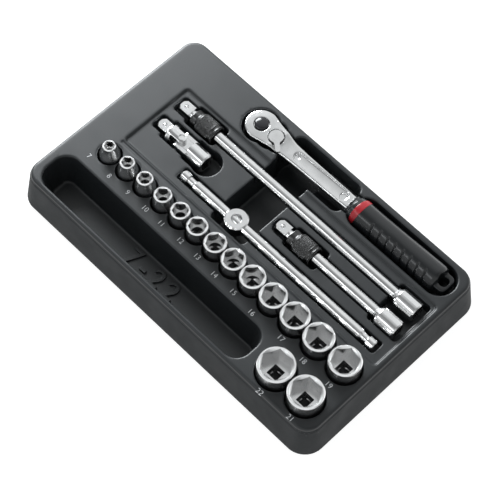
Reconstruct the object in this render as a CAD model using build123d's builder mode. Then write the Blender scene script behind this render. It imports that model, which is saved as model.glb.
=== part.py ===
from build123d import *
import math
import os

os.makedirs("parts", exist_ok=True)

# ---------------------------------------------------------------- dimensions
# All sizes in millimetres.  The layout is dimensioned from the tray's
# front-left base corner and moved so that the frame's origin is the centre of
# the base: +X along the tray's long side, +Y to the back, +Z up.
TRAY_L, TRAY_W, TRAY_H = 313.0, 191.0, 34.0
TRAY_R = 18.0              # base corner radius
SKIRT_H = 30.0             # height of the drafted skirt
SKIRT_IN = 4.4             # how far the skirt leans in at its top
RIM_IN = 5.1               # inset of the raised top above the skirt
WALL = 1.8                 # wall thickness of the moulding
CEIL = 30.2                # underside of the top skin
TOOL_TOP = 32.4            # lowered land around the tools

DRIVE = 9.52               # 3/8 inch square drive
DRIVE_HOLE = 9.62
RIM_Z = 46.4               # top of the sockets in the tray
SOCKET_Z = 17.4            # underside of the sockets in the tray

EXT_Z = 30.5               # axis height of the two extensions
BAR_Z = 30.5               # axis height of the sliding bar
UJ_X, UJ_Y, UJ_Z = 67.4, 112.0, 29.0
LONG_Y, SHORT_Y, BAR_Y = 134.8, 113.6, 92.4
RX, RY, R_ANG = 101.2, 165.2, 0.5   # ratchet head centre and handle angle

X0, Y0 = TRAY_L / 2, TRAY_W / 2


def at(x, y):
    return (x - X0, y - Y0)


# size: (x, y, hexagon corner angle)
SOCKETS = {
    7: (38.90, 63.2, -15), 8: (59.10, 63.2, -15), 9: (78.50, 63.2, -14),
    10: (98.20, 63.2, -14), 11: (117.10, 63.2, -15), 12: (135.40, 63.2, -15),
    13: (154.60, 63.2, -2), 14: (173.90, 63.2, 5), 15: (194.20, 63.2, -10),
    16: (215.55, 63.2, -3), 17: (238.10, 63.2, -4), 18: (262.10, 63.2, 0),
    19: (288.50, 63.2, -10), 22: (256.3, 25.5, 3), 21: (286.0, 25.5, 2),
}


def socket_od(s):
    return 1.25 * s + 1.6


# ------------------------------------------------------------ pocket outlines
# Each group of pockets shares one floor.  g grows the outline, which gives
# the outside of the moulded cup below it.
def rects_and_discs(z, rects, discs, g):
    with BuildSketch(Plane.XY.offset(z)) as sk:
        for (a, b, c, d, r) in rects:
            with Locations(at((a + b) / 2, (c + d) / 2)):
                RectangleRounded(b - a + 2 * g, d - c + 2 * g, r + g)
        for (x, y, r) in discs:
            with Locations(at(x, y)):
                Circle(r + g)
    return sk.sketch


def ratchet_point(u, v):
    a = math.radians(R_ANG)
    return (RX + u * math.cos(a) - v * math.sin(a), RY + u * math.sin(a) + v * math.cos(a))


socket_discs = [(x, y, max(socket_od(s), 17.0) / 2 + 1.1) for s, (x, y, h) in SOCKETS.items()]
grip_c0, grip_c1 = ratchet_point(103, 0), ratchet_point(184.5, 0)

GROUPS = [
    # floor, rectangles (x0, x1, y0, y1, corner radius), discs (x, y, r)
    (17.0, [], socket_discs),
    (6.0, [(130.0, 165.3, 81.4, 160.0, 2.5), (127.6, 166.0, 150.0, 181.6, 6.5)], []),
    (18.0, [(150.0, 196.0, 150.0, 181.6, 6.5)], []),
    (9.0, [], [(RX, RY, 9.2)]),
    (17.3, [(197.5, 301.0, 152.2, 180.2, 13.9)], []),
    (22.3, [(RX, 200.0, 156.2, 175.8, 2.0)], [(RX, RY, 15.4), (RX + 11.5, RY + 0.1, 13.3), (RX + 20.0, RY + 0.2, 11.0)]),
    (20.2, [(51.5, 80.0, 102.3, 121.7, 2.5), (77.0, 97.0, 100.8, 123.2, 2.5)], [(95.0, 112.0, 12.2)]),
    (23.5, [(40.8, 60.0, 105.0, 119.0, 2.5)], []),
    (21.2, [(55.2, 87.4, 124.9, 144.7, 3.0), (183.6, 216.8, 103.7, 123.5, 3.0),
            (270.5, 300.0, 104.6, 145.0, 3.0)], []),
    (24.9, [(41.0, 60.0, 127.4, 142.2, 3.0), (80.0, 275.0, 128.9, 140.7, 1.5),
            (167.6, 190.0, 106.2, 121.0, 7.0), (210.0, 275.0, 107.7, 119.5, 1.5),
            (87.6, 294.6, 86.5, 98.3, 2.0)], []),
]

# ----------------------------------------------------------------------- tray
skirt_taper = math.degrees(math.atan2(SKIRT_IN, SKIRT_H))
with BuildPart() as tray:
    with BuildSketch(Plane.XY):
        RectangleRounded(TRAY_L, TRAY_W, TRAY_R)
    extrude(amount=SKIRT_H, taper=skirt_taper)
    with BuildSketch(Plane.XY.offset(SKIRT_H)):
        RectangleRounded(TRAY_L - 2 * RIM_IN, TRAY_W - 2 * RIM_IN, TRAY_R - RIM_IN)
    extrude(amount=TRAY_H - SKIRT_H)
    fillet(tray.faces().sort_by(Axis.Z)[-1].outer_wire().edges(), 2.5)
    # hollow underside
    with BuildSketch(Plane.XY):
        RectangleRounded(TRAY_L - 5.0, TRAY_W - 5.0, TRAY_R - 2.5)
    extrude(amount=CEIL, taper=skirt_taper, mode=Mode.SUBTRACT)
    # cups that hang into the hollow
    with BuildSketch(Plane.XY.offset(3.2)):
        with Locations(at(123.0, 25.4)):
            RectangleRounded(211.0, 26.0, 9.0)
    extrude(amount=CEIL - 3.2 + 0.5, taper=-9.0)
    for floor, rects, discs in GROUPS:
        extrude(rects_and_discs(floor - WALL, rects, discs, WALL), amount=CEIL - floor + WALL + 0.5)
    # storage compartment
    with BuildSketch(Plane.XY.offset(5.0)):
        with Locations(at(123.0, 25.4)):
            RectangleRounded(210.6, 24.0, 6.5)
    extrude(amount=TRAY_H - 5.0 + 1.0, taper=-9.0, mode=Mode.SUBTRACT)
    # pockets for the sockets and the tools
    for floor, rects, discs in GROUPS:
        extrude(rects_and_discs(floor, rects, discs, 0.0), amount=TRAY_H - floor + 1.0, mode=Mode.SUBTRACT)
    # lowered land around the tools
    extrude(rects_and_discs(TOOL_TOP, [(37.4, 302.4, 80.6, 147.2, 2.5)], [], 0.0), amount=3.0, mode=Mode.SUBTRACT)
tray.part.label = "tray"
export_step(tray.part, "parts/tray.step")


# -------------------------------------------------------------------- sockets
for size, (sx, sy, hex_angle) in SOCKETS.items():
    cx, cy = at(sx, sy)
    r_hex = socket_od(size) / 2
    r_drv = max(8.5, min(r_hex, 11.5))
    hex_depth = 9.0 if size < 10 else (11.5 if size < 16 else 14.3)
    z_hex = RIM_Z - hex_depth
    z_sq = SOCKET_Z + 12.0 if size < 16 else z_hex
    r_bore = min(0.43 * size, 6.3)
    drill = Plane(origin=(cx, cy, 0), x_dir=(1, 0, 0), z_dir=(0, -1, 0))
    if size <= 12:
        side = [(r_drv, RIM_Z - 13.0), (r_hex, RIM_Z - 1.6)]
    elif r_hex > r_drv:
        side = [(r_drv, RIM_Z - 18.0), (r_hex, RIM_Z - 16.4)]
    else:
        side = []
    with BuildPart() as socket:
        with BuildSketch(drill):
            with BuildLine():
                Polyline((0, SOCKET_Z), (r_drv - 0.8, SOCKET_Z), (r_drv, SOCKET_Z + 0.8), *side,
                         (r_hex, RIM_Z - 0.7), (r_hex - 0.6, RIM_Z), (0, RIM_Z), close=True)
            make_face()
        revolve(axis=Axis((cx, cy, 0), (0, 0, 1)))
        with BuildSketch(Plane(origin=(cx, cy, z_hex))):
            RegularPolygon(radius=size / 2 + 0.05, side_count=6, major_radius=False, rotation=hex_angle)
        extrude(amount=hex_depth + 1, mode=Mode.SUBTRACT)
        r_lead = (size / 2 + 0.05) / math.cos(math.pi / 6) + 0.15
        with BuildSketch(drill):
            with BuildLine():
                Polyline((0, RIM_Z - r_lead * 0.75), (r_lead + 0.03, RIM_Z + 0.04), (0, RIM_Z + 0.04), close=True)
            make_face()
        revolve(axis=Axis((cx, cy, 0), (0, 0, 1)), mode=Mode.SUBTRACT)
        with BuildSketch(Plane(origin=(cx, cy, z_sq - 0.01))):
            Circle(r_bore)
        extrude(amount=z_hex - z_sq + 1.2, mode=Mode.SUBTRACT)
        with BuildSketch(Plane(origin=(cx, cy, SOCKET_Z - 1))):
            RectangleRounded(DRIVE_HOLE, DRIVE_HOLE, 0.5)
        extrude(amount=z_sq - SOCKET_Z + 1.0, mode=Mode.SUBTRACT)
        # ring groove for the drive ball
        with BuildSketch(Plane(origin=(cx, cy, SOCKET_Z + 4.2))):
            Circle(5.6)
        extrude(amount=2.4, mode=Mode.SUBTRACT)
    node = "socket_%dmm" % size
    socket.part.label = node
    export_step(socket.part, "parts/%s.step" % node)


# ----------------------------------------------------------------- extensions
def along_x(x, y, z):
    """Plane across the tool's axis: local x is +Y, local y is +Z, normal +X."""
    px, py = at(x, y)
    return Plane(origin=(px, py, z), x_dir=(0, 1, 0), z_dir=(1, 0, 0))


def axial(x, y, z):
    """Plane through the tool's axis: local x is +X, local y is +Z."""
    px, py = at(x, y)
    return Plane(origin=(px, py, z), x_dir=(1, 0, 0), z_dir=(0, -1, 0))


def x_axis(y, z):
    px, py = at(0, y)
    return Axis((px, py, z), (1, 0, 0))


SLEEVE_TRAVEL = 4.0
for name, x_tip, x_end, ey in (("long_extension", 44.4, 294.6, LONG_Y), ("short_extension", 171.0, 295.0, SHORT_Y)):
    xs = x_tip + 14.2                      # front of the locking sleeve
    xf = x_end - 19.6                      # start of the female end
    ax = x_axis(ey, EXT_Z)
    with BuildPart() as shaft:
        with BuildSketch(axial(0, ey, EXT_Z)):
            with BuildLine():
                Polyline((x_tip + 11.0, 0), (x_tip + 11.0, 4.3), (x_tip + 13.2, 4.3), (x_tip + 13.6, 4.9),
                         (xf - 2.4, 4.9), (xf + 1.2, 7.7), (xf + 2.2, 8.2), (x_end - 1.0, 8.2), (x_end, 7.3),
                         (x_end, 0), close=True)
            make_face()
        revolve(axis=ax)
        with BuildSketch(along_x(x_tip, ey, EXT_Z)):
            RectangleRounded(DRIVE, DRIVE, 0.7)
        extrude(amount=11.2)
        with BuildSketch(axial(0, ey, EXT_Z)):
            with BuildLine():
                Polyline((x_tip - 1, 5.0), (x_tip - 1, 9.0), (x_tip + 3.5, 9.0), (x_tip + 2.9, 6.9), (x_tip, 5.0), close=True)
            make_face()
        revolve(axis=ax, mode=Mode.SUBTRACT)
        # female square with a round relief behind it
        with BuildSketch(along_x(x_end - 12.5, ey, EXT_Z)):
            RectangleRounded(DRIVE_HOLE, DRIVE_HOLE, 0.5)
        extrude(amount=14.0, mode=Mode.SUBTRACT)
        # seat of the drive ball in the upper flat
        with BuildSketch(Plane(origin=(*at(x_tip + 4.9, ey), EXT_Z + 1.2))):
            Circle(1.72)
        extrude(amount=6.0, mode=Mode.SUBTRACT)
    node = name + "_shaft"
    shaft.part.label = node
    export_step(shaft.part, "parts/%s.step" % node)

    with BuildPart() as ball:
        with Locations((*at(x_tip + 4.9, ey), EXT_Z + 3.75)):
            Sphere(1.68)
    node = name + "_drive_ball"
    ball.part.label = node
    export_step(ball.part, "parts/%s.step" % node)

    with BuildPart() as sleeve:
        with BuildSketch(axial(0, ey, EXT_Z)):
            with BuildLine():
                Polyline((xs, 4.96), (xs, 6.7), (xs + 0.6, 7.3), (xs + 5.2, 7.3), (xs + 7.4, 8.7), (xs + 20.6, 8.7),
                         (xs + 21.2, 8.2), (xs + 22.4, 8.2), (xs + 23.0, 8.7), (xs + 23.6, 8.7), (xs + 24.4, 7.9),
                         (xs + 24.4, 6.7), (xs + 3.2, 6.7), (xs + 3.2, 4.96), close=True)
            make_face()
        revolve(axis=ax)
    node = name + "_locking_sleeve"
    sleeve.part.label = node
    export_step(sleeve.part, "parts/%s.step" % node)

    with BuildPart() as clip:
        with BuildSketch(along_x(xs + 21.4, ey, EXT_Z)):
            Circle(6.45)
            Circle(4.9, mode=Mode.SUBTRACT)
            with Locations((0, -6)):
                Rectangle(3.0, 6.0, mode=Mode.SUBTRACT)
        extrude(amount=1.0)
    node = name + "_retaining_ring"
    clip.part.label = node
    export_step(clip.part, "parts/%s.step" % node)

    coil_x, coil_len = xs + 8.2, 12.4
    with BuildPart() as spring:
        with BuildLine() as coil_path:
            Helix(pitch=coil_len / 5, height=coil_len, radius=5.75, center=(*at(coil_x, ey), EXT_Z), direction=(1, 0, 0))
        with BuildSketch(Plane(origin=coil_path.line @ 0, z_dir=coil_path.line % 0)):
            Circle(0.35)
        sweep(path=coil_path.line)
    node = name + "_sleeve_spring"
    spring.part.label = node
    export_step(spring.part, "parts/%s.step" % node)


# ------------------------------------------------------------ sliding T-handle
BAR_X0, BAR_X1, HEAD_X = 89.8, 291.6, 147.6
BAR_R = 4.75
with BuildPart() as bar:
    with BuildSketch(axial(0, BAR_Y, BAR_Z)):
        with BuildLine():
            Polyline((BAR_X0, 0), (BAR_X0, 4.1), (BAR_X0 + 0.7, BAR_R), (BAR_X0 + 6.6, BAR_R), (BAR_X0 + 7.4, 3.6),
                     (BAR_X0 + 12.2, 3.6), (BAR_X0 + 14.2, BAR_R), (BAR_X1 - 14.2, BAR_R), (BAR_X1 - 12.2, 3.6),
                     (BAR_X1 - 7.4, 3.6), (BAR_X1 - 6.6, BAR_R), (BAR_X1 - 0.7, BAR_R), (BAR_X1, 4.1), (BAR_X1, 0),
                     close=True)
        make_face()
    revolve(axis=x_axis(BAR_Y, BAR_Z))
bar.part.label = "t_handle_bar"
export_step(bar.part, "parts/t_handle_bar.step")

HEAD_TOP, HEAD_BOT = 36.6, 23.0
hx, hy = at(HEAD_X, BAR_Y)
head_ax = Axis((hx, hy, 0), (0, 0, 1))
with BuildPart() as t_head:
    with BuildSketch(Plane(origin=(hx, hy, 0), x_dir=(1, 0, 0), z_dir=(0, -1, 0))):
        with BuildLine():
            Polyline((0, HEAD_BOT), (6.6, HEAD_BOT), (9.5, HEAD_BOT + 3.2), (9.5, HEAD_TOP - 1.0), (8.5, HEAD_TOP),
                     (4.4, HEAD_TOP), (4.2, HEAD_TOP - 0.3), (4.2, BAR_Z), (0, BAR_Z), close=True)
        make_face()
    revolve(axis=head_ax)
    with BuildSketch(along_x(HEAD_X - 12, BAR_Y, BAR_Z)):
        Circle(BAR_R + 0.05)
    extrude(amount=24, mode=Mode.SUBTRACT)
    with BuildSketch(Plane(origin=(hx, hy, HEAD_BOT - 10.8))):
        RectangleRounded(DRIVE, DRIVE, 0.7)
    extrude(amount=11.0)
    with BuildSketch(Plane(origin=(hx, hy, 0), x_dir=(1, 0, 0), z_dir=(0, -1, 0))):
        with BuildLine():
            Polyline((5.0, HEAD_BOT - 12), (9.0, HEAD_BOT - 12), (9.0, HEAD_BOT - 7.2), (6.9, HEAD_BOT - 7.9),
                     (5.0, HEAD_BOT - 10.8), close=True)
        make_face()
    revolve(axis=head_ax, mode=Mode.SUBTRACT)
    with BuildSketch(Plane(origin=(hx, hy - 1.2, HEAD_BOT - 5.6), x_dir=(1, 0, 0), z_dir=(0, -1, 0))):
        Circle(1.72)
    extrude(amount=6.0, mode=Mode.SUBTRACT)
t_head.part.label = "t_handle_sliding_head"
export_step(t_head.part, "parts/t_handle_sliding_head.step")

with BuildPart() as t_ball:
    with Locations((hx, hy - 3.75, HEAD_BOT - 5.6)):
        Sphere(1.68)
t_ball.part.label = "t_handle_drive_ball"
export_step(t_ball.part, "parts/t_handle_drive_ball.step")


# ------------------------------------------------------------- universal joint
ujx, ujy = at(UJ_X, UJ_Y)
EAR_W, EAR_IN, EAR_OUT = 4.1, 4.3, 8.2
PIN_R = 2.5
uj_ax = x_axis(UJ_Y, UJ_Z)
with BuildPart() as drive_yoke:
    # two ears, above and below the cross
    with BuildSketch(Plane(origin=(ujx, ujy, UJ_Z - EAR_OUT))):
        with Locations((-4.5, 0)):
            Rectangle(9.0, 2 * EAR_W)
        Circle(EAR_W)
    extrude(amount=2 * EAR_OUT)
    with BuildSketch(axial(0, UJ_Y, UJ_Z)):
        with BuildLine():
            Polyline((UJ_X - 13.6, 0), (UJ_X - 13.6, 6.2), (UJ_X - 11.6, 8.2), (UJ_X - 7.8, 8.2), (UJ_X - 7.8, 0), close=True)
        make_face()
    revolve(axis=uj_ax)
    with BuildSketch(along_x(UJ_X - 7.7, UJ_Y, UJ_Z)):
        Rectangle(30, 2 * EAR_IN)
    extrude(amount=20, mode=Mode.SUBTRACT)
    # trim the ears to the round of the joint
    with BuildSketch(along_x(UJ_X - 13.7, UJ_Y, UJ_Z)):
        Circle(30)
        Circle(8.3, mode=Mode.SUBTRACT)
    extrude(amount=30, mode=Mode.SUBTRACT)
    with BuildSketch(along_x(UJ_X - 23.6, UJ_Y, UJ_Z)):
        RectangleRounded(DRIVE, DRIVE, 0.7)
    extrude(amount=10.2)
    with BuildSketch(axial(0, UJ_Y, UJ_Z)):
        with BuildLine():
            Polyline((UJ_X - 25, 5.0), (UJ_X - 25, 9.0), (UJ_X - 20.1, 9.0), (UJ_X - 20.7, 6.9), (UJ_X - 23.6, 5.0), close=True)
        make_face()
    revolve(axis=uj_ax, mode=Mode.SUBTRACT)
    with BuildSketch(Plane(origin=(ujx, ujy, UJ_Z - 9))):
        Circle(PIN_R)
    extrude(amount=18, mode=Mode.SUBTRACT)
    with BuildSketch(Plane(origin=(ujx - 18.6, ujy, UJ_Z + 1.2))):
        Circle(1.72)
    extrude(amount=6.0, mode=Mode.SUBTRACT)
drive_yoke.part.label = "universal_joint_drive_yoke"
export_step(drive_yoke.part, "parts/universal_joint_drive_yoke.step")

with BuildPart() as uj_ball:
    with Locations((ujx - 18.6, ujy, UJ_Z + 3.75)):
        Sphere(1.68)
uj_ball.part.label = "universal_joint_drive_ball"
export_step(uj_ball.part, "parts/universal_joint_drive_ball.step")

with BuildPart() as long_pin:
    with BuildSketch(Plane(origin=(ujx, ujy, UJ_Z - 7.9))):
        Circle(PIN_R)
    extrude(amount=15.0)
    with BuildSketch(Plane(origin=(ujx, ujy, UJ_Z - 2.0))):
        Circle(3.5)
        Circle(1.3, mode=Mode.SUBTRACT)
    extrude(amount=4.0, mode=Mode.SUBTRACT)
long_pin.part.label = "universal_joint_long_pin"
export_step(long_pin.part, "parts/universal_joint_long_pin.step")

with BuildPart() as cross:
    with BuildSketch(Plane(origin=(ujx, ujy, UJ_Z - 4.15))):
        with Locations((2.2, 0)):
            RectangleRounded(14.6, 8.3, 1.2)
    extrude(amount=8.3)
    with BuildSketch(Plane(origin=(ujx, ujy, UJ_Z - 5))):
        Circle(PIN_R + 0.05)
    extrude(amount=10, mode=Mode.SUBTRACT)
    with BuildSketch(Plane(origin=(ujx, ujy + 5, UJ_Z), x_dir=(1, 0, 0), z_dir=(0, -1, 0))):
        Circle(1.9)
    extrude(amount=10, mode=Mode.SUBTRACT)
cross.part.label = "universal_joint_cross_block"
export_step(cross.part, "parts/universal_joint_cross_block.step")

with BuildPart() as short_pins:
    for s in (1, -1):
        with BuildSketch(Plane(origin=(ujx, ujy + s * 2.9, UJ_Z), x_dir=(1, 0, 0), z_dir=(0, s, 0))):
            Circle(1.9)
        extrude(amount=4.9)
short_pins.part.label = "universal_joint_short_pins"
export_step(short_pins.part, "parts/universal_joint_short_pins.step")

with BuildPart() as socket_yoke:
    with BuildSketch(Plane(origin=(ujx, ujy + EAR_OUT, UJ_Z), x_dir=(1, 0, 0), z_dir=(0, -1, 0))):
        with Locations((6.0, 0)):
            Rectangle(12.0, 2 * EAR_W)
        Circle(EAR_W)
    extrude(amount=2 * EAR_OUT)
    with BuildSketch(axial(0, UJ_Y, UJ_Z)):
        with BuildLine():
            Polyline((UJ_X + 10.8, 0), (UJ_X + 10.8, 8.25), (UJ_X + 26.3, 8.25), (UJ_X + 27.3, 7.3), (UJ_X + 27.3, 0), close=True)
        make_face()
    revolve(axis=uj_ax)
    with BuildSketch(Plane(origin=(ujx, ujy, UJ_Z - 9))):
        with Locations((0.7, 0)):
            Rectangle(20.0, 2 * EAR_IN)
    extrude(amount=18, mode=Mode.SUBTRACT)
    with BuildSketch(along_x(UJ_X - 10, UJ_Y, UJ_Z)):
        Circle(30)
        Circle(8.3, mode=Mode.SUBTRACT)
    extrude(amount=40, mode=Mode.SUBTRACT)
    with BuildSketch(Plane(origin=(ujx, ujy + 9, UJ_Z), x_dir=(1, 0, 0), z_dir=(0, -1, 0))):
        Circle(1.95)
    extrude(amount=18, mode=Mode.SUBTRACT)
    with BuildSketch(along_x(UJ_X + 27.3 - 12.0, UJ_Y, UJ_Z)):
        RectangleRounded(DRIVE_HOLE, DRIVE_HOLE, 0.5)
    extrude(amount=14, mode=Mode.SUBTRACT)
socket_yoke.part.label = "universal_joint_socket_yoke"
export_step(socket_yoke.part, "parts/universal_joint_socket_yoke.step")


# --------------------------------------------------------------------- ratchet
# Local frame: u along the handle from the centre of the drive, v across it.
ra = math.radians(R_ANG)
RXP, RYP = at(RX, RY)
U_DIR = (math.cos(ra), math.sin(ra), 0)
V_DIR = (-math.sin(ra), math.cos(ra), 0)


def r_xy(u, v):
    px, py = ratchet_point(u, v)
    return at(px, py)


def r_flat(z, u=0.0, v=0.0):
    """Horizontal plane of the ratchet, local x along the handle."""
    return Plane(origin=(*r_xy(u, v), z), x_dir=U_DIR, z_dir=(0, 0, 1))


def r_side(z=0.0, v=0.0):
    """Upright plane along the handle: local x is u, local y is +Z."""
    return Plane(origin=(*r_xy(0, v), z), x_dir=U_DIR, z_dir=(math.sin(ra), -math.cos(ra), 0))


def r_cross(u, z):
    """Plane across the handle: local x is v, local y is +Z."""
    return Plane(origin=(*r_xy(u, 0), z), x_dir=V_DIR, z_dir=U_DIR)


HT, HB = 36.5, 23.0            # top and underside of the head
SH_T, SH_B = 34.0, 24.0        # top and underside of the shank
GRIP_Z = 29.5
LEV_U = 15.9                   # lever and pawl pivot
with BuildPart() as body:
    with BuildSketch(r_flat(HB)):
        Circle(13.2)
        with BuildLine():
            Polyline((2.6, 12.94), (16.0, 10.3), (30.0, 8.2), (30.0, -8.2), (16.0, -10.3), (2.6, -12.94), close=True)
        make_face()
    extrude(amount=HT - HB)
    fillet(body.faces().sort_by(Axis.Z)[-1].edges().group_by(SortBy.LENGTH)[-1], 0.8)
    # the neck drops behind the head to the level of the shank
    with BuildSketch(r_side(0, 15)):
        with BuildLine():
            Polyline((17.9, 34.9), (17.9, 40), (31, 40), (31, 33.9), (30.0, SH_T), close=True)
        make_face()
    extrude(amount=30, mode=Mode.SUBTRACT)
    with BuildSketch(r_flat(SH_B)):
        with BuildLine():
            Polyline((24.0, 8.6), (30.0, 8.2), (45.0, 7.6), (85.0, 7.0), (96.2, 6.7), (96.2, -6.7), (85.0, -7.0),
                     (45.0, -7.6), (30.0, -8.2), (24.0, -8.6), close=True)
        make_face()
    extrude(amount=SH_T - SH_B)
    # dished panel along the shank
    with BuildSketch(r_flat(SH_T - 1.1)):
        with BuildLine():
            Polyline((40.0, 4.3), (86.0, 5.4), (86.0, -5.4), (40.0, -4.3), close=True)
        make_face()
        with Locations((40.0, 0)):
            Circle(4.3)
        with Locations((86.0, 0)):
            Circle(5.4)
    extrude(amount=3, mode=Mode.SUBTRACT)
    # tang inside the grip
    with BuildSketch(r_cross(96.0, GRIP_Z)):
        Circle(4.0)
    extrude(amount=66.0)
    # gear chamber and pawl pocket, open below
    with BuildSketch(r_flat(24.6)):
        Circle(10.4)
        with Locations((LEV_U, 0)):
            Circle(6.6)
    extrude(amount=8.4, mode=Mode.SUBTRACT)
    with BuildSketch(r_flat(HB - 0.1)):
        Circle(12.0)
        with BuildLine():
            Polyline((5.0, 10.9), (16.0, 8.9), (27.6, 7.0), (27.6, -7.0), (16.0, -8.9), (5.0, -10.9), close=True)
        make_face()
    extrude(amount=1.7, mode=Mode.SUBTRACT)
    with BuildSketch(r_flat(32.9)):
        Circle(6.1)
    extrude(amount=5, mode=Mode.SUBTRACT)
    with BuildSketch(r_flat(34.9)):
        with Locations((LEV_U, 0)):
            Circle(6.0)
    extrude(amount=5, mode=Mode.SUBTRACT)
    with BuildSketch(r_flat(32.9)):
        with Locations((LEV_U, 0)):
            Circle(2.55)
    extrude(amount=3, mode=Mode.SUBTRACT)
    with BuildSketch(r_flat(24.6)):
        with Locations((24.6, 4.4), (24.6, -4.4)):
            Circle(1.25)
    extrude(amount=6, mode=Mode.SUBTRACT)
body.part.label = "ratchet_body"
export_step(body.part, "parts/ratchet_body.step")

with BuildPart() as cover:
    with BuildSketch(r_flat(HB)):
        Circle(11.9)
        with BuildLine():
            Polyline((5.0, 10.8), (16.0, 8.8), (27.5, 6.9), (27.5, -6.9), (16.0, -8.8), (5.0, -10.8), close=True)
        make_face()
        Circle(7.2, mode=Mode.SUBTRACT)
        with Locations((24.6, 4.4), (24.6, -4.4)):
            Circle(1.3, mode=Mode.SUBTRACT)
    extrude(amount=1.6)
    with BuildSketch(r_flat(HB)):
        with Locations((24.6, 4.4), (24.6, -4.4)):
            Circle(2.3)
    extrude(amount=0.9, mode=Mode.SUBTRACT)
cover.part.label = "ratchet_cover_plate"
export_step(cover.part, "parts/ratchet_cover_plate.step")

with BuildPart() as cover_screws:
    with BuildSketch(r_flat(HB + 0.05)):
        with Locations((24.6, 4.4), (24.6, -4.4)):
            Circle(2.2)
    extrude(amount=0.85)
    with BuildSketch(r_flat(HB + 0.9)):
        with Locations((24.6, 4.4), (24.6, -4.4)):
            Circle(1.2)
    extrude(amount=6.0)
    with BuildSketch(r_flat(HB)):
        with Locations((24.6, 4.4), (24.6, -4.4)):
            RegularPolygon(radius=1.0, side_count=6)
    extrude(amount=0.6, mode=Mode.SUBTRACT)
cover_screws.part.label = "ratchet_cover_screws"
export_step(cover_screws.part, "parts/ratchet_cover_screws.step")

TEETH = 36
with BuildPart() as gear:
    with BuildSketch(r_flat(24.8)):
        with BuildLine():
            tooth = []
            for i in range(TEETH):
                for frac, rr in ((0.0, 9.1), (0.36, 9.8), (0.64, 9.8)):
                    t = 2 * math.pi * (i + frac) / TEETH
                    tooth.append((rr * math.cos(t), rr * math.sin(t)))
            Polyline(*tooth, close=True)
        make_face()
    extrude(amount=7.8)
    with BuildSketch(r_flat(HB)):
        Circle(7.14)
    extrude(amount=1.9)
    with BuildSketch(r_flat(32.5)):
        Circle(6.04)
    extrude(amount=1.8)
    with BuildSketch(r_flat(12.3)):
        RectangleRounded(DRIVE, DRIVE, 0.7)
    extrude(amount=10.8)
    with BuildSketch(r_side()):
        with BuildLine():
            Polyline((5.0, 11.0), (9.0, 11.0), (9.0, 15.8), (6.9, 15.2), (5.0, 12.3), close=True)
        make_face()
    revolve(axis=Axis((RXP, RYP, 0), (0, 0, 1)), mode=Mode.SUBTRACT)
    with BuildSketch(r_flat(27.0)):
        Circle(3.4)
    extrude(amount=9.0, mode=Mode.SUBTRACT)
    with BuildSketch(r_flat(14.6)):
        Circle(1.9)
    extrude(amount=14.0, mode=Mode.SUBTRACT)
    with BuildSketch(r_side(17.9, -1.2)):
        Circle(1.72)
    extrude(amount=6.0, mode=Mode.SUBTRACT)
gear.part.label = "ratchet_drive_gear"
export_step(gear.part, "parts/ratchet_drive_gear.step")

with BuildPart() as drive_ball:
    with Locations((*r_xy(0, -3.75), 17.9)):
        Sphere(1.68)
drive_ball.part.label = "ratchet_drive_ball"
export_step(drive_ball.part, "parts/ratchet_drive_ball.step")

with BuildPart() as button:
    with BuildSketch(r_side()):
        with BuildLine():
            Polyline((0, 16.6), (1.0, 16.6), (1.15, 17.2), (1.15, 21.8), (1.8, 22.6), (1.8, 29.4), (3.3, 29.4), (3.3, 36.5), (4.6, 36.5), (4.6, 37.0))
            dome_r = (4.6 ** 2 + 1.3 ** 2) / 2.6
            ThreePointArc((4.6, 37.0), (2.4, 38.3 - dome_r + math.sqrt(dome_r ** 2 - 2.4 ** 2)), (0, 38.3))
            Line((0, 38.3), (0, 16.6))
        make_face()
    revolve(axis=Axis((RXP, RYP, 0), (0, 0, 1)))
button.part.label = "ratchet_release_button"
export_step(button.part, "parts/ratchet_release_button.step")

with BuildPart() as button_spring:
    with BuildLine() as bs_path:
        Helix(pitch=0.5, height=1.7, radius=2.6, center=(RXP, RYP, 27.35), direction=(0, 0, 1))
    with BuildSketch(Plane(origin=bs_path.line @ 0, z_dir=bs_path.line % 0)):
        Circle(0.2)
    sweep(path=bs_path.line)
button_spring.part.label = "ratchet_button_spring"
export_step(button_spring.part, "parts/ratchet_button_spring.step")

LEV_ANG = -41.0
with BuildPart() as lever:
    with BuildSketch(r_flat(34.98)):
        with Locations((LEV_U, 0)):
            Circle(5.85)
        with BuildLine():
            la = math.radians(LEV_ANG)
            c, s = math.cos(la), math.sin(la)
            pts = [(3.0, 3.6), (6.4, 2.1), (12.6, 1.9), (14.0, 1.1), (14.0, -1.1), (12.6, -1.9), (6.4, -2.1), (3.0, -3.6)]
            Polyline(*[(LEV_U + a * c - b * s, a * s + b * c) for a, b in pts], close=True)
        make_face()
    extrude(amount=1.52)
    with BuildSketch(r_flat(33.1)):
        with Locations((LEV_U, 0)):
            Circle(2.5)
    extrude(amount=2.0)
lever.part.label = "ratchet_reversing_lever"
export_step(lever.part, "parts/ratchet_reversing_lever.step")

with BuildPart() as pawl_pin:
    with BuildSketch(r_flat(24.6)):
        with Locations((LEV_U, 0)):
            Circle(1.4)
    extrude(amount=8.3)
pawl_pin.part.label = "ratchet_pawl_pin"
export_step(pawl_pin.part, "parts/ratchet_pawl_pin.step")

with BuildPart() as pawl:
    with BuildSketch(r_flat(25.0)):
        with Locations((LEV_U, 0)):
            Circle(6.0)
            with Locations((3.2, 0)):
                Rectangle(8.0, 14.0, mode=Mode.SUBTRACT)
        Circle(10.45, mode=Mode.SUBTRACT)
        with Locations((LEV_U, 0)):
            Circle(2.9)
            Circle(1.45, mode=Mode.SUBTRACT)
    extrude(amount=7.5)
pawl.part.label = "ratchet_pawl"
export_step(pawl.part, "parts/ratchet_pawl.step")

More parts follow.
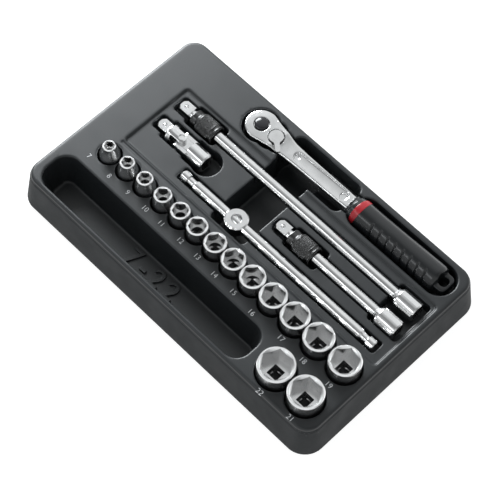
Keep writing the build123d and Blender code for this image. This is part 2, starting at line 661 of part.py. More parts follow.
with BuildPart() as badge:
    with BuildSketch(r_side(GRIP_Z)):
        with BuildLine():
            Polyline((103.2, 9.4), (103.2, 10.62), (105.0, 11.2), (108.2, 11.3), (108.2, 9.4), close=True)
        make_face()
    revolve(axis=Axis((*r_xy(0, 0), GRIP_Z), U_DIR), revolution_arc=100)
badge.part.label = "grip_badge"
export_step(badge.part, "parts/grip_badge.step")

with BuildPart() as grip:
    with BuildSketch(r_side(GRIP_Z)):
        with BuildLine():
            Polyline((96.2, 4.0), (96.2, 6.7), (98.6, 7.1), (101.4, 9.6), (103.2, 10.62), (105.0, 11.2), (108.2, 11.3),
                     (130.0, 11.4), (180.0, 11.9), (186.4, 11.4), (187.4, 9.8), (187.4, 0), (162.0, 0), (162.0, 4.0), close=True)
        make_face()
    revolve(axis=Axis((*r_xy(0, 0), GRIP_Z), U_DIR))
    with BuildSketch(r_flat(GRIP_Z - 4.6)):
        with Locations((187.0, 0)):
            SlotCenterToCenter(3.2, 16.6)
    extrude(amount=9.2)
    with BuildSketch(r_flat(GRIP_Z - 15)):
        with Locations((190.1, 0)):
            Circle(4.1)
    extrude(amount=30, mode=Mode.SUBTRACT)
    add(badge.part, mode=Mode.SUBTRACT)
grip.part.label = "ratchet_grip"
export_step(grip.part, "parts/ratchet_grip.step")
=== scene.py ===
import bpy, bmesh, math
import numpy as np
import openvdb as vdb
from mathutils import Matrix, Vector


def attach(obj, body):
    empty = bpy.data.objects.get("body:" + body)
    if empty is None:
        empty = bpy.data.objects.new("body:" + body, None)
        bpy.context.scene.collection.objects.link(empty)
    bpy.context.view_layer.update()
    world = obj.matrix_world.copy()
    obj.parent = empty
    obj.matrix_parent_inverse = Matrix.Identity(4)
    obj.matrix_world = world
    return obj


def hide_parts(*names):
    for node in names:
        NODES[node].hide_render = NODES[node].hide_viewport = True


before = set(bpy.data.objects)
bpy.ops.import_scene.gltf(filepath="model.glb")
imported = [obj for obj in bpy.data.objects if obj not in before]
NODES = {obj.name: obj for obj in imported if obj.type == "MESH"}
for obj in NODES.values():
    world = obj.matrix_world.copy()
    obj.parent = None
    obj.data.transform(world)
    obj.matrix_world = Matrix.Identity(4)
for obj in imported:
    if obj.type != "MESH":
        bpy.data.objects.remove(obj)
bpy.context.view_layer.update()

# The tray is laid out in millimetres from its front-left base corner.
X0, Y0 = 156.5, 95.5
L, W, H = 313.0, 191.0, 34.0

# ------------------------------------------------------------------ materials


def new_mat(name):
    m = bpy.data.materials.new(name)
    m.use_nodes = True
    nt = m.node_tree
    return m, nt, nt.nodes["Principled BSDF"]


def coords(nt):
    return nt.nodes.new("ShaderNodeTexCoord").outputs["Object"]


def noise(nt, vec, scale, detail=4.0, rough=0.55, stretch=None):
    if stretch:
        mp = nt.nodes.new("ShaderNodeMapping")
        mp.inputs["Scale"].default_value = stretch
        nt.links.new(vec, mp.inputs["Vector"])
        vec = mp.outputs["Vector"]
    n = nt.nodes.new("ShaderNodeTexNoise")
    n.inputs["Scale"].default_value = scale
    n.inputs["Detail"].default_value = detail
    n.inputs["Roughness"].default_value = rough
    nt.links.new(vec, n.inputs["Vector"])
    return n.outputs["Fac"]


def ramp(nt, fac, stops):
    r = nt.nodes.new("ShaderNodeValToRGB")
    el = r.color_ramp.elements
    while len(el) > 1:
        el.remove(el[-1])
    el[0].position, el[0].color = stops[0][0], (*stops[0][1], 1)
    for p, c in stops[1:]:
        e = el.new(p)
        e.color = (*c, 1)
    nt.links.new(fac, r.inputs["Fac"])
    return r.outputs["Color"]


def remap(nt, fac, a, b, lo=0.0, hi=1.0):
    m = nt.nodes.new("ShaderNodeMapRange")
    m.inputs["From Min"].default_value = lo
    m.inputs["From Max"].default_value = hi
    m.inputs["To Min"].default_value = a
    m.inputs["To Max"].default_value = b
    nt.links.new(fac, m.inputs["Value"])
    return m.outputs["Result"]


def bump(nt, bsdf, height, strength, distance, chain=None):
    b = nt.nodes.new("ShaderNodeBump")
    b.inputs["Strength"].default_value = strength
    b.inputs["Distance"].default_value = distance
    nt.links.new(height, b.inputs["Height"])
    if chain is not None:
        nt.links.new(chain, b.inputs["Normal"])
    nt.links.new(b.outputs["Normal"], bsdf.inputs["Normal"])
    return b.outputs["Normal"]


def grey(v):
    return (v, v, v)


def plastic_mat(name, dark, light, rough_lo, rough_hi, grain, spec=0.5):
    m, nt, p = new_mat(name)
    o = coords(nt)
    big = noise(nt, o, 14, 3)
    col = ramp(nt, big, [(0.35, dark), (0.65, light)])
    nt.links.new(col, p.inputs["Base Color"])
    fine = noise(nt, o, 1500, 3, 0.6)
    mid = noise(nt, o, 60, 3)
    nt.links.new(remap(nt, mid, rough_lo, rough_hi, 0.3, 0.7), p.inputs["Roughness"])
    bump(nt, p, fine, grain, 0.0001)
    p.inputs["Specular IOR Level"].default_value = spec
    return m


def metal_mat(name, lo, hi, rough_lo, rough_hi, brush=None, bump_s=0.0, fine_scale=900.0):
    m, nt, p = new_mat(name)
    o = coords(nt)
    p.inputs["Metallic"].default_value = 1.0
    big = noise(nt, o, 90, 4)
    nt.links.new(ramp(nt, big, [(0.3, lo), (0.7, hi)]), p.inputs["Base Color"])
    if brush:
        f = noise(nt, o, 400, 3, 0.6, brush)
    else:
        f = noise(nt, o, fine_scale, 3, 0.6)
    nt.links.new(remap(nt, f, rough_lo, rough_hi, 0.3, 0.7), p.inputs["Roughness"])
    if bump_s:
        bump(nt, p, f, bump_s, 0.0001)
    return m


TRAY_MAT = plastic_mat("tray_plastic", (0.0095, 0.0115, 0.0130), (0.0125, 0.0145, 0.0160), 0.38, 0.46, 0.16)
WALL_MAT = plastic_mat("tray_plastic_matt", (0.0095, 0.0115, 0.0130), (0.0125, 0.0145, 0.0160), 0.55, 0.65, 0.20, 0.22)
CHROME = metal_mat("chrome_polished", grey(0.74), grey(0.82), 0.12, 0.18)
FORGED = metal_mat("chrome_forged", grey(0.66), grey(0.76), 0.11, 0.16, bump_s=0.02, fine_scale=500.0)
SATIN = metal_mat("chrome_satin", grey(0.68), grey(0.78), 0.12, 0.18, bump_s=0.02)
STEEL = metal_mat("spring_steel", grey(0.42), grey(0.52), 0.25, 0.35)
NUMBER = plastic_mat("number_ink", (0.66, 0.67, 0.68), (0.76, 0.77, 0.78), 0.45, 0.55, 0.05)
GRIP = plastic_mat("grip_rubber", (0.007, 0.008, 0.009), (0.010, 0.011, 0.012), 0.22, 0.28, 0.04, 0.36)
GRIP.node_tree.nodes["Principled BSDF"].inputs["Coat Weight"].default_value = 0.4
GRIP.node_tree.nodes["Principled BSDF"].inputs["Coat Roughness"].default_value = 0.16
BADGE = plastic_mat("badge_red", (0.28, 0.008, 0.014), (0.34, 0.012, 0.020), 0.22, 0.30, 0.03)
BUTTON = plastic_mat("button_black", (0.012, 0.012, 0.014), (0.018, 0.018, 0.02), 0.12, 0.18, 0.02)
SLEEVE = metal_mat("sleeve_black", grey(0.055), grey(0.085), 0.24, 0.34, bump_s=0.03)


def socket_mat():
    m, nt, p = new_mat("socket_chrome")
    o = coords(nt)
    p.inputs["Metallic"].default_value = 1.0
    sep = nt.nodes.new("ShaderNodeSeparateXYZ")
    nt.links.new(o, sep.inputs["Vector"])
    # painted highlight: above Z 45.7 mm the sockets' base colour is mixed to near white, so the rims look lit
    painted_rim_highlight = remap(nt, sep.outputs["Z"], 0.0, 1.0, 0.0456, 0.0458)
    big = noise(nt, o, 90, 4)
    body = ramp(nt, big, [(0.3, grey(0.72)), (0.7, grey(0.80))])
    mix = nt.nodes.new("ShaderNodeMix")
    mix.data_type = "RGBA"
    nt.links.new(painted_rim_highlight, mix.inputs["Factor"])
    nt.links.new(body, mix.inputs["A"])
    mix.inputs["B"].default_value = (0.97, 0.97, 0.97, 1)
    nt.links.new(mix.outputs["Result"], p.inputs["Base Color"])
    f = noise(nt, o, 60, 3, 0.6)
    nt.links.new(remap(nt, f, 0.19, 0.25, 0.3, 0.7), p.inputs["Roughness"])
    fine = noise(nt, o, 2500, 2, 0.5)
    bump(nt, p, fine, 0.02, 0.00005)
    return m


SOCKET = socket_mat()


def set_mat(o, m):
    o.data.materials.clear()
    o.data.materials.append(m)


# ----------------------------------------------------------------------- tray
VOX = 0.5
PAD = 3.0
gx = np.arange(-PAD, L + PAD + VOX / 2, VOX, dtype=np.float32)
gy = np.arange(-PAD, W + PAD + VOX / 2, VOX, dtype=np.float32)
gz = np.arange(-PAD, H + PAD + VOX / 2, VOX, dtype=np.float32)


def win(a, lo, hi):
    return slice(max(0, int(np.searchsorted(a, lo)) - 1), min(len(a), int(np.searchsorted(a, hi)) + 1))


def smin(a, b, k):
    h = np.clip(0.5 + 0.5 * (b - a) / k, 0, 1)
    return b + (a - b) * h - k * h * (1 - h)


def smax(a, b, k):
    return -smin(-a, -b, k)


def d_rect(X, Y, x0, x1, y0, y1, r):
    qx = np.abs(X - (x0 + x1) / 2) - ((x1 - x0) / 2 - r)
    qy = np.abs(Y - (y0 + y1) / 2) - ((y1 - y0) / 2 - r)
    return np.hypot(np.maximum(qx, 0), np.maximum(qy, 0)) + np.minimum(np.maximum(qx, qy), 0) - r


def d_disc(X, Y, x, y, r):
    return np.hypot(X - x, Y - y) - r


SOCK = {7: (38.9, 63.2), 8: (59.1, 63.2), 9: (78.5, 63.2), 10: (98.2, 63.2), 11: (117.1, 63.2), 12: (135.4, 63.2),
        13: (154.6, 63.2), 14: (173.9, 63.2), 15: (194.2, 63.2), 16: (215.55, 63.2), 17: (238.1, 63.2),
        18: (262.1, 63.2), 19: (288.5, 63.2), 22: (256.3, 25.5), 21: (286.0, 25.5)}
RA = math.radians(0.5)


def rpt(u, v):
    return 101.2 + u * math.cos(RA) - v * math.sin(RA), 165.2 + u * math.sin(RA) + v * math.cos(RA)


# (kind, numbers, floor height, draft of the walls in degrees)
POCKETS = []
for s, (x, y) in SOCK.items():
    POCKETS.append(("d", (x, y, max(1.25 * s + 1.6, 17.0) / 2 + 1.05), 17.0, 0.8))
POCKETS += [
    ("r", (19.6, 226.6, 14.6, 36.2, 7.0), 5.0, 11.0),
    ("r", (130.3, 165.0, 81.6, 160.0, 3.0), 6.0, 1.0),
    ("r", (128.6, 165.6, 151.0, 181.0, 6.5), 6.0, 1.5),
    ("r", (150.0, 195.4, 151.0, 181.0, 6.5), 18.0, 1.5),
    ("d", (101.2, 165.2, 9.1), 9.0, 0.5),
    ("r", (197.7, 300.8, 152.4, 180.0, 13.7), 17.3, 1.0),
    ("r", (112.0, 201.0, 156.4, 175.6, 2.0), 22.3, 1.0),
    ("d", (101.2, 165.2, 15.3), 22.3, 1.0),
    ("d", (112.7, 165.3, 13.2), 22.3, 1.0),
    ("d", (121.2, 165.4, 10.9), 22.3, 1.0),
    ("r", (51.6, 80.0, 102.4, 121.6, 2.5), 20.2, 1.0),
    ("r", (77.0, 96.8, 100.9, 123.1, 2.5), 20.2, 1.0),
    ("d", (95.0, 112.0, 12.1), 18.6, 1.0),
    ("r", (40.9, 60.0, 105.1, 118.9, 2.5), 23.5, 1.0),
    ("r", (55.3, 87.3, 125.0, 144.6, 3.0), 21.2, 1.0),
    ("r", (183.7, 216.7, 103.8, 123.4, 3.0), 21.2, 1.0),
    ("r", (270.6, 299.8, 104.7, 144.9, 3.0), 21.2, 1.0),
    ("r", (41.1, 60.0, 127.5, 142.1, 3.0), 24.9, 1.0),
    ("r", (80.0, 276.0, 129.0, 140.6, 1.5), 24.9, 1.0),
    ("r", (167.8, 190.0, 106.3, 120.9, 7.0), 24.9, 1.0),
    ("r", (210.0, 276.0, 107.8, 119.4, 1.5), 24.9, 1.0),
    ("r", (87.7, 294.5, 86.6, 98.2, 2.0), 24.9, 1.0),
]


def grid_mesh(name, f, vox, origin, adapt, mat, matrix=None):
    """Mesh of the zero surface of the field f, in millimetres from origin."""
    half = 3.0 * vox
    g = vdb.FloatGrid(half)
    g.copyFromArray(np.ascontiguousarray(np.clip(f, -half, half), dtype=np.float32), tolerance=0.0)
    g.transform = vdb.createLinearTransform(voxelSize=vox)
    pts, tris, quads = g.convertToPolygons(isovalue=0.0, adaptivity=adapt)
    pts = (np.asarray(pts) + np.array(origin)) / 1000.0
    if matrix is not None:
        m = np.array(matrix)
        pts = pts @ m[:3, :3].T + m[:3, 3]
    me = bpy.data.meshes.new(name)
    # faces come out wound inwards
    tris, quads = np.asarray(tris)[:, ::-1], np.asarray(quads)[:, ::-1]
    nt_, nq = len(tris), len(quads)
    me.vertices.add(len(pts))
    me.vertices.foreach_set("co", pts.astype(np.float32).ravel())
    me.loops.add(3 * nt_ + 4 * nq)
    me.loops.foreach_set("vertex_index", np.concatenate([tris.ravel(), quads.ravel()]).astype(np.int32))
    me.polygons.add(nt_ + nq)
    me.polygons.foreach_set("loop_start", np.concatenate([np.arange(nt_) * 3, 3 * nt_ + np.arange(nq) * 4]).astype(np.int32))
    me.update(calc_edges=True)
    me.validate()
    me.shade_smooth()
    o = bpy.data.objects.new(name, me)
    bpy.context.scene.collection.objects.link(o)
    set_mat(o, mat)
    return o


def axes3(lo, hi, vox):
    a = [np.arange(lo[k], hi[k] + vox / 2, vox, dtype=np.float32) for k in range(3)]
    return a[0][:, None, None], a[1][None, :, None], a[2][None, None, :]


def build_tray():
    X, Y = np.meshgrid(gx, gy, indexing="ij")
    Z = gz[None, None, :]
    # drafted outside with a small step under the raised top
    inset = np.interp(gz, [-PAD, 0, 30.0, 30.25, 34.0, 38.0], [0, 0, 4.4, 5.0, 5.35, 5.7]).astype(np.float32)[None, None, :]
    d2 = d_rect(X, Y, 0, L, 0, W, 18.0)[:, :, None].astype(np.float32)
    f = (d2 + inset) * 0.99
    f = smax(f, Z - H, 2.6)
    # lowered land round the tools
    dl = d_rect(X, Y, 37.4, 302.4, 80.6, 147.3, 2.5)[:, :, None]
    land = smax(dl - (Z - 32.4) * 0.18, 32.4 - Z, 0.8)
    void = land.astype(np.float32)
    for kind, a, floor, draft in POCKETS:
        t = math.tan(math.radians(draft))
        grow = 6.0 + t * (H - floor)
        if kind == "d":
            x, y, r = a
            bx = (x - r, x + r, y - r, y + r)
        else:
            bx = a[:4]
        sx, sy = win(gx, bx[0] - grow, bx[1] + grow), win(gy, bx[2] - grow, bx[3] + grow)
        wx, wy = X[sx, sy], Y[sx, sy]
        d = (d_disc(wx, wy, *a) if kind == "d" else d_rect(wx, wy, *a))[:, :, None].astype(np.float32)
        pocket = smax(d - (Z - floor) * t, floor - Z, 1.6 if floor > 8 else 2.2)
        void[sx, sy] = smin(void[sx, sy], pocket, 0.5)
    # narrow groove in front of the tool land
    sx, sy = win(gx, 30, 284), win(gy, 72, 84)
    ax = np.maximum(np.maximum(38.0 - X[sx, sy], X[sx, sy] - 277.0), 0)[:, :, None]
    groove = np.sqrt(ax ** 2 + (Y[sx, sy][:, :, None] - 77.7) ** 2 + (Z - 34.35) ** 2) - 0.95
    void[sx, sy] = smin(void[sx, sy], groove.astype(np.float32), 0.3)
    top = smax(f, -void, 1.5)
    skin = 2.0
    shell = smax(top, -(top + skin), 0.6)
    shell = smax(shell, -Z, 0.35).astype(np.float32)
    del f, void, top
    return grid_mesh("tray_shell", shell, VOX, (-PAD - X0, -PAD - Y0, -PAD), 0.012, TRAY_MAT)


tray = build_tray()
# the drafted outside walls are moulded matt
tray.data.materials.append(WALL_MAT)
pn = np.empty(len(tray.data.polygons) * 3, np.float32)
tray.data.polygons.foreach_get("normal", pn)
pc = np.empty(len(tray.data.polygons) * 3, np.float32)
tray.data.polygons.foreach_get("center", pc)
pn, pc = pn.reshape(-1, 3), pc.reshape(-1, 3) * 1000 + np.array([X0, Y0, 0], np.float32)
edge = d_rect(pc[:, 0], pc[:, 1], 0, L, 0, W, 18.0)
tray.data.polygons.foreach_set("material_index", ((edge > -6.2) & (np.abs(pn[:, 2]) < 0.5) & (pc[:, 2] < 31.5)).astype(np.int32))
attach(tray, "tray")
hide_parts("tray")

# -------------------------------------------------------------------- ratchet
R_M = Matrix.Translation(((101.2 - X0) / 1000, (165.2 - Y0) / 1000, 0)) @ Matrix.Rotation(RA, 4, "Z")


def cap_box(u, v, z, u0, u1, hw, z0, z1, k=0.6):
    return smax(smax(np.abs(v) - hw, np.maximum(u0 - u, u - u1), k), np.maximum(z0 - z, z - z1), k)


def build_ratchet():
    vox = 0.3
    lo, hi = (-15.0, -15.0, 21.5), (100.0, 15.0, 38.0)
    u, v, z = axes3(lo, hi, vox)
    w = np.interp(u, [0, 2.6, 9, 16, 24, 30, 45, 85, 99], [13.1, 12.9, 11.7, 10.3, 9.0, 8.25, 7.6, 7.0, 6.6]).astype(np.float32)
    outline = smin(np.hypot(u, v) - 13.2, smax(np.abs(v) - w, np.maximum(-u, u - 98.5), 0.3), 1.2)
    # the head's top drops behind the lever to the shank, on a slanted line
    s_ = u - 0.18 * v
    top = np.interp(s_, [-20, 19.0, 21.5, 25.0, 28.5, 31.0, 100], [36.5, 36.5, 35.7, 34.7, 34.15, 34.0, 34.0]).astype(np.float32)
    bot = np.interp(u, [-20, 27.5, 29.0, 100], [23.0, 23.0, 24.0, 24.0]).astype(np.float32)
    crown = 0.60 * np.minimum((u * u + v * v) / 172.0, 1.6) * np.clip((24 - u) / 12, 0, 1)
    f = smax(smax(outline, z - top + crown, np.interp(u, [14, 34], [1.3, 2.2]).astype(np.float32)), bot - z, 0.8)
    # dished panel along the shank, deeper at its two ends
    wp = np.interp(u, [40, 86], [4.3, 5.3])
    pan = np.minimum(np.minimum(np.hypot(u - 40, v) - 4.3, np.hypot(u - 86, v) - 5.3),
                     np.maximum(np.abs(v) - wp, np.maximum(40 - u, u - 86)))
    f = smax(f, -smax(pan, 32.4 + 0.016 * (v * v) - z, 0.7), 0.7)
    for uu, rr in ((38.6, 2.2), (87.4, 3.0)):
        f = smax(f, -smax(np.hypot(u - uu, v) - rr, 31.3 - z, 0.5), 0.5)
    # seats of the lever and the release button
    f = smax(f, -smax(np.hypot(u - 15.9, v) - 6.7, 33.75 - z, 0.2), 0.35)
    # relief milled under the lever's arm
    ca, sa = math.cos(math.radians(-41.0)), math.sin(math.radians(-41.0))
    al, ac = (u - 15.9) * ca + v * sa, -(u - 15.9) * sa + v * ca
    arm = np.maximum(np.abs(ac) - (4.6 - 0.10 * al), np.maximum(-al, al - 30))
    f = smax(f, -smax(arm, 34.3 + 0.05 * ac * ac - z, 0.5), 0.6)
    f = smax(f, -smax(np.hypot(u, v) - 6.25, 32.7 - z, 0.2), 0.6)
    f = smax(f, -(np.hypot(u - 15.9, v) - 2.7 + 0 * z), 0.1)
    # works chamber, open below
    cham = np.minimum(np.hypot(u, v) - 10.5, np.hypot(u - 15.9, v) - 6.7)
    f = np.maximum(f, -np.maximum(cham, z - 33.0))
    cov = smin(np.hypot(u, v) - 12.1, smax(np.abs(v) - (w - 1.9), np.maximum(4 - u, u - 27.7), 0.2), 0.3)
    f = np.maximum(f, -np.maximum(cov, z - 24.7))
    for sgn in (1, -1):
        f = np.maximum(f, -np.maximum(np.hypot(u - 24.6, v - 4.4 * sgn) - 1.35, z - 30.8))
    return grid_mesh("ratchet_body_forged", f, vox, lo, 0.008, FORGED, R_M)


GROOVES = (124.1, 132.3, 140.0, 147.6, 155.5, 162.8, 170.3, 178.1)
GZ = 29.5


def grip_radius(u):
    return np.interp(u, [95, 96.4, 96.9, 99.0, 100.2, 103.2, 105.0, 108.2, 122.0, 150.0, 180.0, 184.0, 186.4, 187.4],
                     [6.6, 8.8, 9.35, 9.35, 10.5, 10.95, 11.2, 11.3, 11.05, 11.35, 11.85, 11.8, 11.0, 9.6]).astype(np.float32)


def build_grip(badge):
    vox = 0.3
    lo, hi = (94.0, -14.0, 15.5), ((112.0, 14.0, 43.0) if badge else (199.0, 14.0, 43.0))
    u, v, z = axes3(lo, hi, vox)
    zz = z - GZ
    r = np.sqrt(v * v + zz * zz)
    th = np.degrees(np.arctan2(zz, -v))          # 0 faces the tray's front, 90 is up
    f = r - grip_radius(u)
    if badge:
        # crescent over the top of the grip
        half = np.clip(1 - ((th - 78) / 92.0) ** 2, 0, 1)
        band = np.abs(u - 106.0 - 0.010 * (th - 78)) - 3.0 * np.sqrt(half)
        b = smax(smax(f - 0.16, band, 0.25), 8.6 - r, 0.2)
        return grid_mesh("grip_badge_crescent", b, vox, lo, 0.0, BADGE, R_M)
    f = smax(f, u - 187.5, 2.2)
    f = smax(f, 96.4 - u, 0.4)
    tab = smax(smax(np.hypot(np.maximum(np.abs(v) - 3.6, 0) * 1.0, np.maximum(u - 191.6, 0)) - 4.6, 180 - u, 0.5), np.abs(zz) - 4.4, 1.6)
    f = smin(f, tab, 1.5)
    side = np.clip(1 - ((th - 8) / 62.0) ** 2, 0, 1) ** 0.5
    for g0 in GROOVES:
        du = u - g0 + 0.03 * th
        near = np.exp(-(du / 0.62) ** 2) * (1 + 0.25 * np.tanh(du / 0.5))
        f = f + 1.35 * side * near * (np.abs(du) < 6)
    # hanging hole and a bore inside the grip
    f = smax(f, -(np.hypot(u - 190.1, v) - 4.1 + 0 * z), 0.9)
    f = np.maximum(f, -smax(r - 4.0, u - 162.0, 0.1))
    return grid_mesh("ratchet_grip_moulded", f, vox, lo, 0.006, GRIP, R_M)


rb = build_ratchet()
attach(rb, "ratchet")
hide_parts("ratchet_body")
rg = build_grip(False)
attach(rg, "ratchet")
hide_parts("ratchet_grip")
bd = build_grip(True)
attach(bd, "ratchet")
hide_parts("grip_badge")


# ------------------------------------------------------ release button, domed cap
def build_button():
    prof = [(0, 16.6), (1.0, 16.6), (1.15, 17.2), (1.15, 21.8), (1.8, 22.6), (1.8, 29.4), (3.3, 29.4), (3.3, 36.4), (5.3, 36.4),
            (5.6, 36.6), (5.6, 36.85), (5.5, 37.0)]
    for k in range(1, 13):
        a = math.radians(k * 7.5)
        prof.append((5.5 * math.cos(a), 37.0 + 1.3 * math.sin(a)))
    n = 96
    verts, faces = [], []
    rows = prof[1:-1]
    for r, z in rows:
        verts += [(r * math.cos(2 * math.pi * j / n), r * math.sin(2 * math.pi * j / n), z) for j in range(n)]
    for i in range(len(rows) - 1):
        for j in range(n):
            k = (j + 1) % n
            faces.append((i * n + j, i * n + k, (i + 1) * n + k, (i + 1) * n + j))
    b, t = len(verts), len(verts) + 1
    verts += [(0, 0, 16.6), (0, 0, 38.3)]
    top = (len(rows) - 1) * n
    for j in range(n):
        k = (j + 1) % n
        faces.append((k, j, b))
        faces.append((top + j, top + k, t))
    me = bpy.data.meshes.new("ratchet_button_domed")
    me.from_pydata([(x / 1000, y / 1000, z / 1000) for x, y, z in verts], [], faces)
    me.transform(R_M)
    me.update()
    me.shade_smooth()
    me.set_sharp_from_angle(angle=math.radians(35))
    o = bpy.data.objects.new("ratchet_button_domed", me)
    bpy.context.scene.collection.objects.link(o)
    set_mat(o, BUTTON)
    return o


bt = build_button()
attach(bt, "ratchet_button")
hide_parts("ratchet_release_button")


# ------------------------------------------------------ knurled locking sleeves
def build_sleeve(name, xs, ey):
    n_t, n_u = 288, 150
    prof_u = [0, 0.5, 0.9, 5.0, 5.6, 7.4, 7.9, 20.3, 20.8, 21.4, 22.5, 23.0, 23.6, 24.0, 24.4]
    prof_r = [6.5, 7.1, 7.3, 7.3, 7.5, 8.6, 8.7, 8.7, 8.4, 8.15, 8.15, 8.55, 8.7, 8.5, 7.9]
    us = np.sort(np.concatenate([np.linspace(0, 24.4, n_u), prof_u]))
    t = np.linspace(0, 2 * math.pi, n_t, endpoint=False)
    U, T = np.meshgrid(us, t, indexing="ij")
    R = np.interp(U, prof_u, prof_r)
    on = np.clip((U - 8.2) / 0.4, 0, 1) * np.clip((20.2 - U) / 0.4, 0, 1)
    a = np.abs(((T * 24 / math.pi + U / 1.15) % 1) - 0.5) * 2
    b = np.abs(((T * 24 / math.pi - U / 1.15) % 1) - 0.5) * 2
    R = R - 0.45 * on * (1 - np.clip(np.minimum(a, b) * 2.6, 0, 1))
    co = np.stack([U, R * np.cos(T), R * np.sin(T)], -1).reshape(-1, 3)
    rings = len(us)
    # bore side, closed back to the outside
    bore = np.array([[24.4, 6.72], [3.2, 6.72], [3.2, 4.97], [0.0, 4.97]])
    co2 = np.stack([np.repeat(bore[:, 0], n_t), np.repeat(bore[:, 1], n_t) * np.tile(np.cos(t), 4),
                    np.repeat(bore[:, 1], n_t) * np.tile(np.sin(t), 4)], -1)
    co = np.concatenate([co, co2]) + np.array([xs - X0, ey - Y0, 30.5])
    faces = []
    total = rings + 4
    for i in range(total):
        i2 = (i + 1) % total
        for j in range(n_t):
            j2 = (j + 1) % n_t
            faces.append((i * n_t + j, i * n_t + j2, i2 * n_t + j2, i2 * n_t + j))
    me = bpy.data.meshes.new(name)
    me.from_pydata((co / 1000).tolist(), [], faces)
    me.update()
    me.shade_smooth()
    o = bpy.data.objects.new(name, me)
    bpy.context.scene.collection.objects.link(o)
    bm = bmesh.new()
    bm.from_mesh(me)
    bmesh.ops.recalc_face_normals(bm, faces=bm.faces)
    bm.to_mesh(me)
    bm.free()
    me.shade_smooth()
    set_mat(o, SLEEVE)
    return o


for nm, xs, ey in (("long_extension", 44.4 + 14.2, 134.8), ("short_extension", 171.0 + 14.2, 113.6)):
    o = build_sleeve(nm + "_sleeve_knurled", xs, ey)
    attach(o, nm + "_sleeve")
    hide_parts(nm + "_locking_sleeve")

# -------------------------------------------------------- size numbers, generic
NUM_AT = {7: (29.3, 50.3), 8: (52.9, 49.4), 9: (73.2, 49.7), 10: (92.6, 49.7), 11: (110.3, 49.5), 12: (130.7, 49.8),
          13: (149.3, 49.5), 14: (168.9, 48.1), 15: (189.0, 48.1), 16: (210.3, 46.0), 17: (240.1, 46.8),
          18: (263.7, 45.6), 19: (290.2, 45.2), 22: (259.5, 5.6), 21: (289.0, 7.0)}


def text_mesh(name, word, size, matrix, depth=0.00006, mat=None, thin=0.0, bevel=0.0, space=1.0):
    cu = bpy.data.curves.new(name, "FONT")
    cu.body = word
    cu.size = size
    cu.align_x = "CENTER"
    cu.align_y = "CENTER"
    cu.extrude = depth
    cu.offset = thin
    cu.bevel_depth = bevel
    cu.space_character = space
    cu.resolution_u = 6
    t = bpy.data.objects.new(name, cu)
    bpy.context.scene.collection.objects.link(t)
    bpy.context.view_layer.update()
    me = bpy.data.meshes.new_from_object(t.evaluated_get(bpy.context.evaluated_depsgraph_get()))
    bpy.data.objects.remove(t)
    me.transform(matrix)
    o = bpy.data.objects.new(name, me)
    bpy.context.scene.collection.objects.link(o)
    set_mat(o, mat or NUMBER)
    return o


def tr(x, y, z):
    return Matrix.Translation(((x - X0) / 1000, (y - Y0) / 1000, z / 1000))


for s, (x, y) in NUM_AT.items():
    o = text_mesh("size_number_%d" % s, str(s), 0.0060, tr(x, y, 34.03), thin=-0.00011)
    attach(o, "tray")

word = text_mesh("compartment_range", "7-22", 0.0225, tr(126.0, 24.0, 5.5), depth=0.0006, mat=TRAY_MAT, bevel=0.0003, space=1.35)
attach(word, "tray")

# -------------------------------------------------------------- CAD node looks
for name, o in NODES.items():
    if name == "tray":
        continue
    if name.startswith("socket_"):
        set_mat(o, SOCKET)
    elif "sleeve_spring" in name or "button_spring" in name or "retaining" in name:
        set_mat(o, STEEL)
    elif "locking_sleeve" in name:
        set_mat(o, SLEEVE)
    elif name == "ratchet_grip":
        set_mat(o, GRIP)
    elif name == "grip_badge":
        set_mat(o, BADGE)
    elif name == "ratchet_release_button":
        set_mat(o, BUTTON)
    elif name == "ratchet_reversing_lever":
        set_mat(o, SATIN)
    else:
        set_mat(o, CHROME)

# --------------------------------------------------------------- floor, lights
fl = bpy.data.meshes.new("floor")
fl.from_pydata([(-6, -6, 0), (6, -6, 0), (6, 6, 0), (-6, 6, 0)], [], [(0, 1, 2, 3)])
floor = bpy.data.objects.new("floor", fl)
bpy.context.scene.collection.objects.link(floor)
fm, fnt, fp = new_mat("floor_pale")
fp.inputs["Base Color"].default_value = (0.30, 0.30, 0.30, 1)
fp.inputs["Emission Color"].default_value = (1, 1, 1, 1)
fp.inputs["Emission Strength"].default_value = 0.88
fp.inputs["Roughness"].default_value = 0.9
fp.inputs["Specular IOR Level"].default_value = 0.1
set_mat(floor, fm)
floor.location.z = -0.0002

world = bpy.data.worlds.new("studio")
bpy.context.scene.world = world
world.use_nodes = True
bg = world.node_tree.nodes["Background"]
wn = world.node_tree
tc = wn.nodes.new("ShaderNodeTexCoord")
dt = wn.nodes.new("ShaderNodeVectorMath")
dt.operation = "DOT_PRODUCT"
dt.inputs[1].default_value = (-0.35, 0.94, 0.0)
wn.links.new(tc.outputs["Generated"], dt.inputs[0])
wr = wn.nodes.new("ShaderNodeValToRGB")
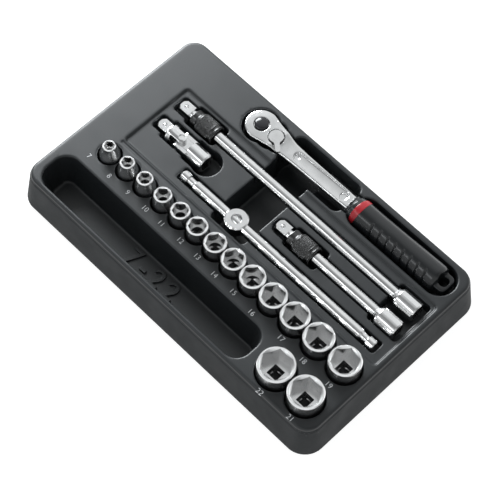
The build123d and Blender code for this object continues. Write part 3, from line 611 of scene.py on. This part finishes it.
# soft panels behind and low in front, with a dark gap overhead between them
ST = [(-1.0, 0.72), (-0.50, 0.62), (-0.32, 0.34), (-0.16, 0.24), (0.02, 0.26), (0.14, 0.40), (0.30, 0.58), (0.44, 0.70), (0.62, 0.84), (1.0, 0.86)]
while len(wr.color_ramp.elements) > 1:
    wr.color_ramp.elements.remove(wr.color_ramp.elements[-1])
wr.color_ramp.elements[0].position = 0.0
wr.color_ramp.elements[0].color = (ST[0][1] * 0.965, ST[0][1] * 0.99, ST[0][1], 1)
for p_, v_ in ST[1:]:
    e_ = wr.color_ramp.elements.new((p_ + 1) / 2)
    e_.color = (v_ * 0.965, v_ * 0.99, v_, 1)
mr_ = wn.nodes.new("ShaderNodeMapRange")
mr_.inputs["From Min"].default_value = -1
mr_.inputs["From Max"].default_value = 1
wn.links.new(dt.outputs["Value"], mr_.inputs["Value"])
wn.links.new(mr_.outputs["Result"], wr.inputs["Fac"])
wn.links.new(wr.outputs["Color"], bg.inputs["Color"])
bg.inputs["Strength"].default_value = 1.1
bpy.context.scene.view_settings.view_transform = "Standard"


def area(name, loc, target, size, power, shape="RECTANGLE", size_y=None):
    li = bpy.data.lights.new(name, "AREA")
    li.shape = shape
    li.size = size
    li.size_y = size_y or size
    li.energy = power
    li.color = (0.94, 0.975, 1.0)
    o = bpy.data.objects.new(name, li)
    bpy.context.scene.collection.objects.link(o)
    o.location = loc
    d = Vector(target) - Vector(loc)
    o.rotation_euler = d.to_track_quat("-Z", "Y").to_euler()
    return o


area("back_left", (-1.00, 0.50, 0.60), (-0.15, 0.03, 0.0), 0.62, 28)
area("front", (-0.38, -0.72, 0.88), (0.0, 0.0, 0.0), 1.0, 1.5, size_y=0.12)

# --------------------------------------------------------------------- camera
AZ, EL, ROLL = 0.7448506580574844, 1.0810100494661714, 0.052340512986861876
F_PX, DIST = 1844.316415089237, 1.3927394956645326
TX, TY, TZ = (167.70554548366013 - X0) / 1000, (87.32183273042678 - Y0) / 1000, 0.020
back = Vector((math.sin(AZ) * math.cos(EL), -math.cos(AZ) * math.cos(EL), math.sin(EL)))
fwd = -back
right = fwd.cross(Vector((0, 0, 1))).normalized()
up = right.cross(fwd)
r2 = math.cos(ROLL) * right + math.sin(ROLL) * up
u2 = -math.sin(ROLL) * right + math.cos(ROLL) * up
cam = bpy.data.cameras.new("camera")
cam.sensor_width = 36
cam.lens = F_PX / 500 * 36
cam.clip_start, cam.clip_end = 0.05, 20
co = bpy.data.objects.new("camera", cam)
bpy.context.scene.collection.objects.link(co)
pos = Vector((TX, TY, TZ)) + back * DIST
m3 = Matrix((r2, u2, back)).transposed()
co.matrix_world = Matrix.Translation(pos) @ m3.to_4x4()
bpy.context.scene.camera = co
